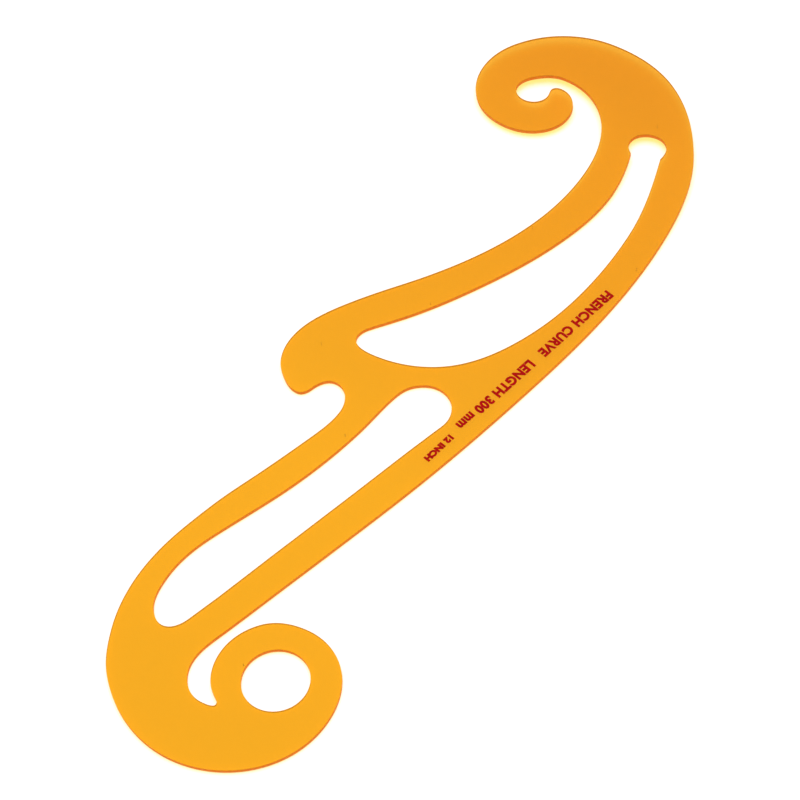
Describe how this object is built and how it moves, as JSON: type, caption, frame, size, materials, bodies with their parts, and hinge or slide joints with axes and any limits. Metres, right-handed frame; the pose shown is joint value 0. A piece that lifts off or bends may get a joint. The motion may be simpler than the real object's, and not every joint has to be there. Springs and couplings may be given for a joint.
{
  "type": "french curve",
  "caption": "Flat translucent orange french curve with a ring scroll, a hook scroll and drawing slots cut through the sheet, for ruling smooth curves along its edges.",
  "frame": {"origin": "centre of the outline's bounding rectangle, on the underside that lies on the paper", "axes": "+X along the length towards the hook scroll, +Y across towards the lobe, +Z out of the printed face"},
  "size_m": [0.3, 0.0892, 0.0015],
  "materials": {
    "orange_acrylic": "polished translucent orange, edges darker where the light runs along the sheet",
    "legend_ink": "thin pad-printed dark red ink on the upper face"
  },
  "bodies": {
    "root": {"curve_sheet": "orange_acrylic"}
  },
  "joints": []
}
